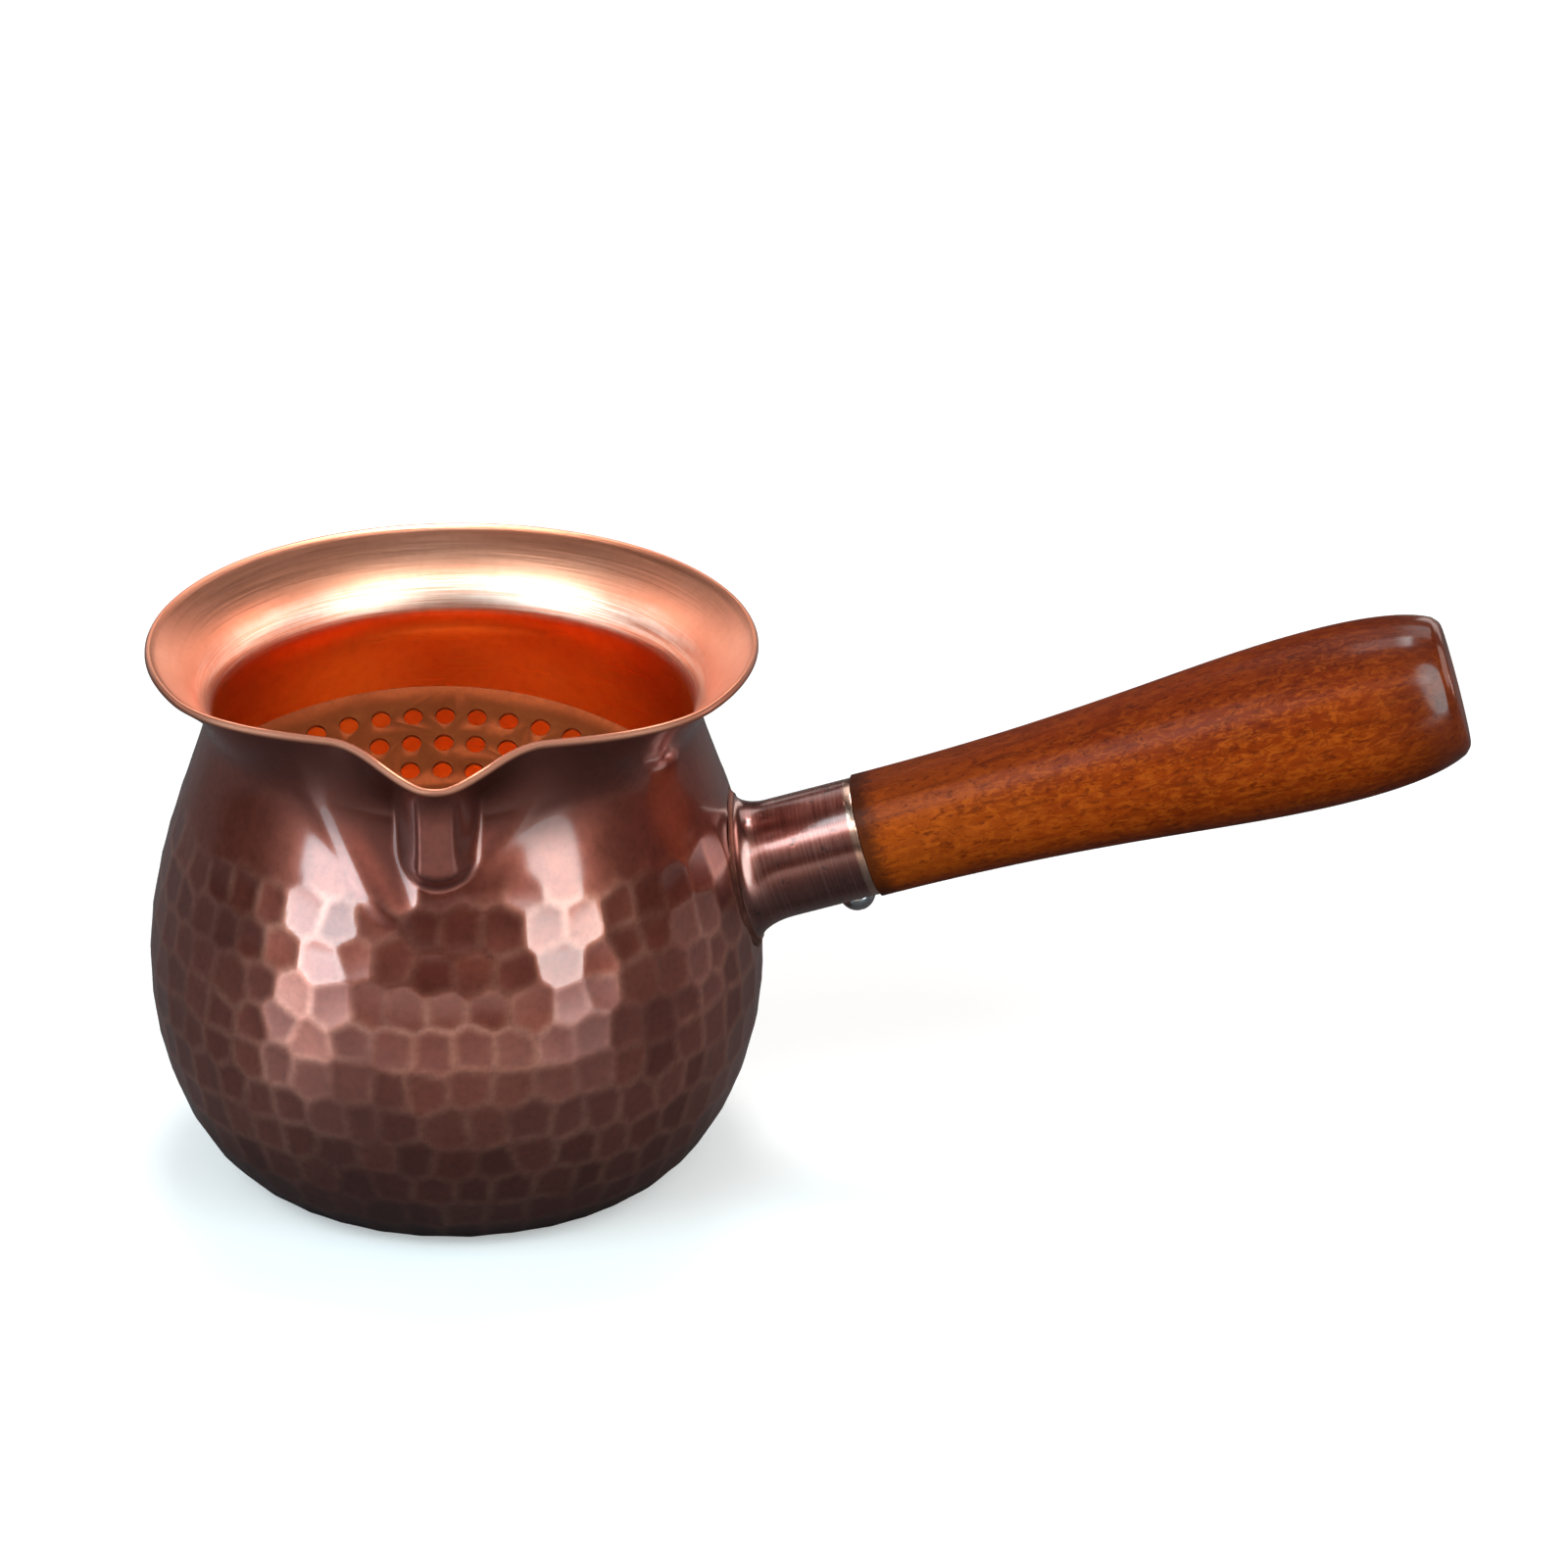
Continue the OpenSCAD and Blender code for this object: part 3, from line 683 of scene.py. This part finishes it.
def insideCopper():
    # bright copper brushed round the axis: deep orange below the bend and paler on the flare, with a painted
    # highlight band on the flare just above the bend
    look = insideLook
    material, tree, shader = newMaterial("inside_copper", Metallic=1.0, Anisotropic=0.7)
    brushLines = tree.nodes.new("ShaderNodeTangent")
    brushLines.direction_type, brushLines.axis = "RADIAL", "Z"
    feed(tree, shader.inputs["Tangent"], brushLines.outputs["Tangent"])
    place = objectCoordinates(tree)
    height = figure(tree, "MULTIPLY_ADD", noise(tree, place, 70, 3), look["waver"], heightOf(tree))
    cloud = noise(tree, place, 38, 3, 0.5)
    grain = noise(tree, place, 700, 4, 0.6)
    brushed = noise(tree, objectCoordinates(tree, (60, 60, 3500)), 1.0, 3, 0.6)
    above = ranged(tree, height, *look["bend"])
    colour = blended(tree, above, twoTone(tree, cloud, look["deep"]), twoTone(tree, cloud, look["flare"]))
    # painted highlight: a pale brushed band on the flare just above the bend
    paintedHighlight = figure(tree, "MULTIPLY", above, ranged(tree, height, *look["paintedHighlightTop"], 1.0, 0.0))
    paintedHighlight = figure(tree, "MULTIPLY", paintedHighlight, ranged(tree, brushed, 0.35, 0.6, 0.12, 0.7))
    colour = blended(tree, paintedHighlight, colour, look["paintedHighlight"])
    colour = blended(tree, ranged(tree, grain, 0.4, 0.8, 0.0, 0.2), colour, look["grime"])
    satin = figure(tree, "MULTIPLY_ADD", brushed, 0.16, ranged(tree, height, *look["bend"], 0.22, 0.27))
    dress(tree, shader, colour, satin, bumped(tree, brushed, 0.35, 0.00006))
    return material


plateLook = {"copper": ((0.132, 0.024, 0.0062), (0.182, 0.038, 0.0105)), "grime": (0.095, 0.020, 0.006)}


def plateCopper():
    material, tree, shader = newMaterial("strainer_copper", Metallic=1.0)
    place = objectCoordinates(tree)
    cloud = noise(tree, place, 90, 4)
    grain = noise(tree, place, 1500, 4, 0.6)
    colour = twoTone(tree, cloud, plateLook["copper"])
    colour = blended(tree, ranged(tree, grain, 0.35, 0.75, 0.0, 0.3), colour, plateLook["grime"])
    rough = figure(tree, "MULTIPLY_ADD", grain, 0.15, 0.42)
    dress(tree, shader, colour, rough, bumped(tree, grain, 0.3, 0.00004))
    return material


socketLook = {
    "copper": ((0.19, 0.044, 0.029), (0.33, 0.088, 0.062)), "brushed": (0.46, 0.22, 0.18),
    "pits": (0.045, 0.016, 0.013), "pitted": (0.62, 0.72), "mouth": (0.66, 0.38, 0.27),
    "mouthStart": (0.0594, 0.0599),
}


def socketCopper():
    # brushed round the tube, with small dark pits and a bright worn mouth
    look = socketLook
    material, tree, shader = newMaterial("socket_copper", Metallic=1.0, Coat_Weight=1.0,
                                         Coat_IOR=1.8, Coat_Roughness=0.17)
    brushing = noise(tree, alongHandle(tree, 60, 3200), 1.0, 4, 0.65)
    place = objectCoordinates(tree)
    cloud = noise(tree, place, 120, 4)
    pits = noise(tree, place, 520, 2)
    mouth = ranged(tree, axisOf(tree, alongHandle(tree)), *look["mouthStart"])
    colour = twoTone(tree, cloud, look["copper"])
    colour = blended(tree, ranged(tree, brushing, 0.45, 0.75, 0.0, 0.45), colour, look["brushed"])
    colour = blended(tree, ranged(tree, pits, *look["pitted"], 0.0, 0.6), colour, look["pits"])
    colour = blended(tree, mouth, colour, look["mouth"])
    rough = figure(tree, "MULTIPLY_ADD", brushing, 0.2, figure(tree, "MULTIPLY_ADD", mouth, -0.06, 0.20))
    lines = bumped(tree, brushing, 0.35, 0.00004)
    dress(tree, shader, colour, rough,
          bumped(tree, ranged(tree, pits, *look["pitted"], 1.0, 0.0), 0.3, 0.0001, lines))
    return material


# small plain metals: cloud is a scale and detail, rough a gain and base, and bump a strength and depth
smallMetals = {
    "solder_metal": {"cloud": (300, 4), "tones": ((0.34, 0.30, 0.25), (0.55, 0.50, 0.44)),
                     "rough": (0.25, 0.3), "bump": (0.5, 0.0002)},
    "braze_metal": {"cloud": (420, 4), "tones": ((0.17, 0.060, 0.042), (0.30, 0.120, 0.088)),
                    "rough": (0.2, 0.34), "bump": (0.4, 0.00015)},
    "screw_chrome": {"cloud": (900, 3), "tones": ((0.62, 0.62, 0.65), (0.78, 0.78, 0.80)),
                     "rough": (0.08, 0.10), "bump": None},
}


def smallMetal(name):
    look = smallMetals[name]
    material, tree, shader = newMaterial(name, Metallic=1.0)
    cloud = noise(tree, objectCoordinates(tree), *look["cloud"])
    rough = figure(tree, "MULTIPLY_ADD", cloud, *look["rough"])
    normal = bumped(tree, cloud, *look["bump"]) if look["bump"] else None
    dress(tree, shader, twoTone(tree, cloud, look["tones"]), rough, normal)
    return material


# reaches run along the handle line from the bowl's axis
woodLook = {
    "broad": ((0.32, (0.150, 0.0140, 0.0008)), (0.68, (0.300, 0.036, 0.0018))),
    "golden": (0.40, 0.070, 0.005), "goldenReach": (0.064, 0.096), "curls": (0.49, 0.086, 0.006),
    "specks": (0.080, 0.008, 0.0010), "streaks": (0.090, 0.010, 0.0012),
    "collar": (0.060, 0.012, 0.003), "collarReach": (0.0635, 0.0668), "paintedEdgeShade": (0.40, 0.34, 0.40),
    "butt": (0.070, 0.010, 0.003), "buttReach": (0.130, 0.1455), "glossReach": (0.1395, 0.1445),
}


def lacqueredWood():
    # curled and streaked figure, with painted shade along the grip's top and bottom, and darker at the collar
    # and on the glossy butt
    look = woodLook
    material, tree, shader = newMaterial("lacquered_wood", Specular_IOR_Level=0.05, Coat_Roughness=0.14)
    curls = noise(tree, alongHandle(tree, 1050, 460), 1.0, 6, 0.7, 0.9)
    specks = noise(tree, alongHandle(tree, 1500, 640), 1.0, 4, 0.62, 0.8)
    streaks = noise(tree, alongHandle(tree, 900, 75), 1.0, 4, 0.6, 0.3)
    broad = noise(tree, alongHandle(tree, 130, 36), 1.0, 3, 0.55)
    place = alongHandle(tree)
    reach, down, aside = (axisOf(tree, place, axis) for axis in "ZXY")
    colour = ramp(tree, broad, *look["broad"])
    colour = blended(tree, ranged(tree, reach, *look["goldenReach"], 0.45, 0.0), colour, look["golden"])
    colour = blended(tree, ranged(tree, curls, 0.42, 0.66, 0.0, 0.58), colour, look["curls"])
    colour = blended(tree, ranged(tree, specks, 0.53, 0.66, 0.0, 0.62), colour, look["specks"])
    colour = blended(tree, ranged(tree, streaks, 0.54, 0.70, 0.0, 0.45), colour, look["streaks"])
    curled = figure(tree, "MULTIPLY_ADD", curls, 0.004, reach)
    colour = blended(tree, ranged(tree, curled, *look["collarReach"], 0.85, 0.0), colour, look["collar"])
    # painted shade: the grip is darkened along its top and bottom
    across = distanceOf(tree, down, aside)
    paintedEdgeShade = figure(tree, "DIVIDE", figure(tree, "ABSOLUTE", down), figure(tree, "ADD", across, 0.0001))
    paintedEdgeShade = figure(tree, "MULTIPLY", paintedEdgeShade, ranged(tree, across, 0.002, 0.008))
    paintedEdgeShade = figure(tree, "MULTIPLY_ADD", broad, 0.35, figure(tree, "ADD", paintedEdgeShade, -0.17))
    colour = blended(tree, ranged(tree, paintedEdgeShade, 0.42, 0.98, 0.0, 0.9), colour, look["paintedEdgeShade"], "MULTIPLY")
    colour = blended(tree, ranged(tree, reach, *look["buttReach"], 0.0, 0.6), colour, look["butt"])
    rough = figure(tree, "MULTIPLY_ADD", specks, 0.2, 0.34)
    dress(tree, shader, colour, rough, bumped(tree, curls, 0.10, 0.0001))
    feed(tree, shader.inputs["Coat Weight"], ranged(tree, reach, *look["glossReach"], 0.05, 0.7))
    return material


# pieces

bowlPiece = makeBowl()
bowlPiece.data.materials.append(hammeredCopper())
bowlPiece.data.materials.append(insideCopper())
insideShare = readLayer(bowlPiece.data, "inside")
for face in bowlPiece.data.polygons:
    if min(insideShare[v] for v in face.vertices) > 0.5:
        face.material_index = 1
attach(bowlPiece, "root")
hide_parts("body_shell")

for piece, node, slotName, finish in (
        (makeGrip(), "handle", "handle_wood", lacqueredWood()),
        (makeSocket(), "handle_socket", "socket_copper", socketCopper()),
        (makeBraze(), "socket_braze", "braze", smallMetal("braze_metal")),
        (softCopy("strainer"), "strainer_plate", "strainer_copper", plateCopper()),
        (softCopy("solder_bead"), "strainer_solder", "solder", smallMetal("solder_metal")),
        (softCopy("screw"), "handle_screw", "screw_chrome", smallMetal("screw_chrome"))):
    piece.data.materials.clear()
    piece.data.materials.append(finish)
    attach(piece, "root")
    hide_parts(node)
    print(piece.name + ":", len(piece.data.polygons), "faces")
print("pieces made")


# floor, lights and camera, in metres and degrees

studio = {
    "target": (0.0465, 0.0, 0.056982), "distance": 1.0, "azimuth": 1.0, "elevation": 24.774, "roll": 0.264,
    "lens": 162.931, "sensor": 36.0, "clip": (0.05, 20), "aim": (0, 0, 0.05),
    "unseenWorld": (0.045, 0.033, 0.031), "seenWorld": (1.0, 1.0, 1.0),
}
floorLook = {
    "radius": 4.0, "sides": 96, "pale": ((0.62, 0.617, 0.612), (0.65, 0.647, 0.642)),
    "glow": (1.0, 0.995, 0.99), "glowReach": (0.3, 1.3), "glowPower": (0.36, 1.0),
    "card": (0.034, 0.028, 0.029), "strip": (0.62, 0.46, 0.40), "stripFront": (-0.30, -0.05),
    "stripSide": (0.03, 0.20), "far": (0.80, 0.72, 0.68), "farReach": (0.45, 1.10),
    # lit lanes: the middle and half width in degrees, the near end, and the power
    "lanes": ((-49.0, 11.0, 0.08, 2.3), (45.0, 10.0, 0.11, 1.5)),
}


def paleFloor():
    # pale to the eye, but reflections see a dark card with a pale strip, a pale far side and lit lanes
    look = floorLook
    material, tree, shader = newMaterial("pale_floor", Roughness=0.6)
    pale = twoTone(tree, noise(tree, objectCoordinates(tree), 6, 3), look["pale"])
    rays = tree.nodes.new("ShaderNodeLightPath")
    place = objectCoordinates(tree)
    forward, aside = (axisOf(tree, place, axis) for axis in "YX")
    strip = figure(tree, "MULTIPLY", ranged(tree, forward, *look["stripFront"], 1.0, 0.0),
                   ranged(tree, figure(tree, "ABSOLUTE", aside), *look["stripSide"], 1.0, 0.0))
    card = blended(tree, strip, look["card"], look["strip"])
    card = blended(tree, ranged(tree, forward, *look["farReach"]), card, look["far"])
    turn = figure(tree, "ARCTAN2", aside, figure(tree, "MULTIPLY", forward, -1.0))
    across = distanceOf(tree, aside, forward)
    lit = 0.0
    for middle, half, near, power in look["lanes"]:
        off = figure(tree, "ABSOLUTE", figure(tree, "SUBTRACT", turn, math.radians(middle)))
        lane = ranged(tree, off, math.radians(half * 0.55), math.radians(half * 1.25), power, 0.0)
        lane = figure(tree, "MULTIPLY", lane, ranged(tree, across, near * 0.6, near * 4.0))
        lit = figure(tree, "ADD", lit, lane)
    seen = figure(tree, "MULTIPLY", rays.outputs["Is Camera Ray"],
                  ranged(tree, across, *look["glowReach"], *look["glowPower"]))
    mirrored = figure(tree, "MULTIPLY", rays.outputs["Is Glossy Ray"], lit)
    feed(tree, shader.inputs["Base Color"], blended(tree, rays.outputs["Is Camera Ray"], card, pale))
    feed(tree, shader.inputs["Emission Color"], look["glow"])
    feed(tree, shader.inputs["Emission Strength"], figure(tree, "ADD", seen, mirrored))
    return material


def directionAt(azimuth, elevation):
    a, e = math.radians(azimuth), math.radians(elevation)
    return Vector((math.sin(a) * math.cos(e), -math.cos(a) * math.cos(e), math.sin(e)))


def softbox(name, azimuth, elevation, distance, width, height, watts, colour=(1, 1, 1), shape="RECTANGLE"):
    data = bpy.data.lights.new(name, "AREA")
    data.shape = shape
    data.size, data.size_y = width, height
    data.energy = watts
    data.color = colour
    light = bpy.data.objects.new(name, data)
    bpy.context.scene.collection.objects.link(light)
    out = directionAt(azimuth, elevation)
    light.location = Vector(studio["aim"]) + out * distance
    light.rotation_mode = "QUATERNION"
    light.rotation_quaternion = out.to_track_quat("Z", "Y")


softbox("left_box", -49, 29, 0.9, 0.50, 1.25, 9.2, (0.58, 0.89, 1.0), "ELLIPSE")
softbox("right_box", 45, 29, 0.9, 0.42, 1.20, 6.5, (0.72, 0.97, 1.0), "ELLIPSE")
softbox("front_box", 0, 49, 1.5, 1.5, 0.34, 5.0)
softbox("front_fill", -10, 30, 1.6, 1.6, 1.0, 0.9, (1.0, 0.93, 0.90))
softbox("upper_left", -32, 44, 1.3, 0.45, 0.35, 1.6, (0.92, 0.95, 1.0))
softbox("left_fill", -108, 27, 1.2, 0.7, 0.4, 2.0, (1.0, 0.80, 0.74))
softbox("right_fill", 104, 25, 1.2, 0.7, 0.4, 2.8, (1.0, 0.78, 0.70))
softbox("butt_box", 105, 9, 1.2, 0.18, 0.26, 1.1)
softbox("back_box", 175, 50, 1.3, 1.0, 0.6, 3.0)
softbox("top_box", 180, 72, 1.5, 0.45, 0.45, 10.5)
softbox("rear_left", -152, 12, 1.4, 0.8, 0.4, 1.6, (1.0, 0.92, 0.88))
softbox("rear_right", 152, 12, 1.4, 0.8, 0.4, 1.7, (1.0, 0.90, 0.84))

bm = bmesh.new()
bmesh.ops.create_circle(bm, cap_ends=True, cap_tris=False, segments=floorLook["sides"],
                        radius=floorLook["radius"])
floor = meshFrom("floor", bm)
floor.data.materials.append(paleFloor())

world = bpy.data.worlds.new("studio_world")
bpy.context.scene.world = world
world.use_nodes = True
worldTree = world.node_tree
cameraRay = worldTree.nodes.new("ShaderNodeLightPath").outputs["Is Camera Ray"]
feed(worldTree, worldTree.nodes["Background"].inputs["Color"],
     blended(worldTree, cameraRay, studio["unseenWorld"], studio["seenWorld"]))

cameraData = bpy.data.cameras.new("camera")
cameraData.lens, cameraData.sensor_width = studio["lens"], studio["sensor"]
cameraData.clip_start, cameraData.clip_end = studio["clip"]
camera = bpy.data.objects.new("camera", cameraData)
bpy.context.scene.collection.objects.link(camera)
back = directionAt(studio["azimuth"], studio["elevation"])
camera.location = Vector(studio["target"]) + back * studio["distance"]
camera.rotation_mode = "QUATERNION"
level = (-back).to_track_quat("-Z", "Y")
camera.rotation_quaternion = level @ Matrix.Rotation(math.radians(studio["roll"]), 3, "Z").to_quaternion()
bpy.context.scene.camera = camera
bpy.context.scene.view_settings.view_transform = "Standard"
print("studio ready")
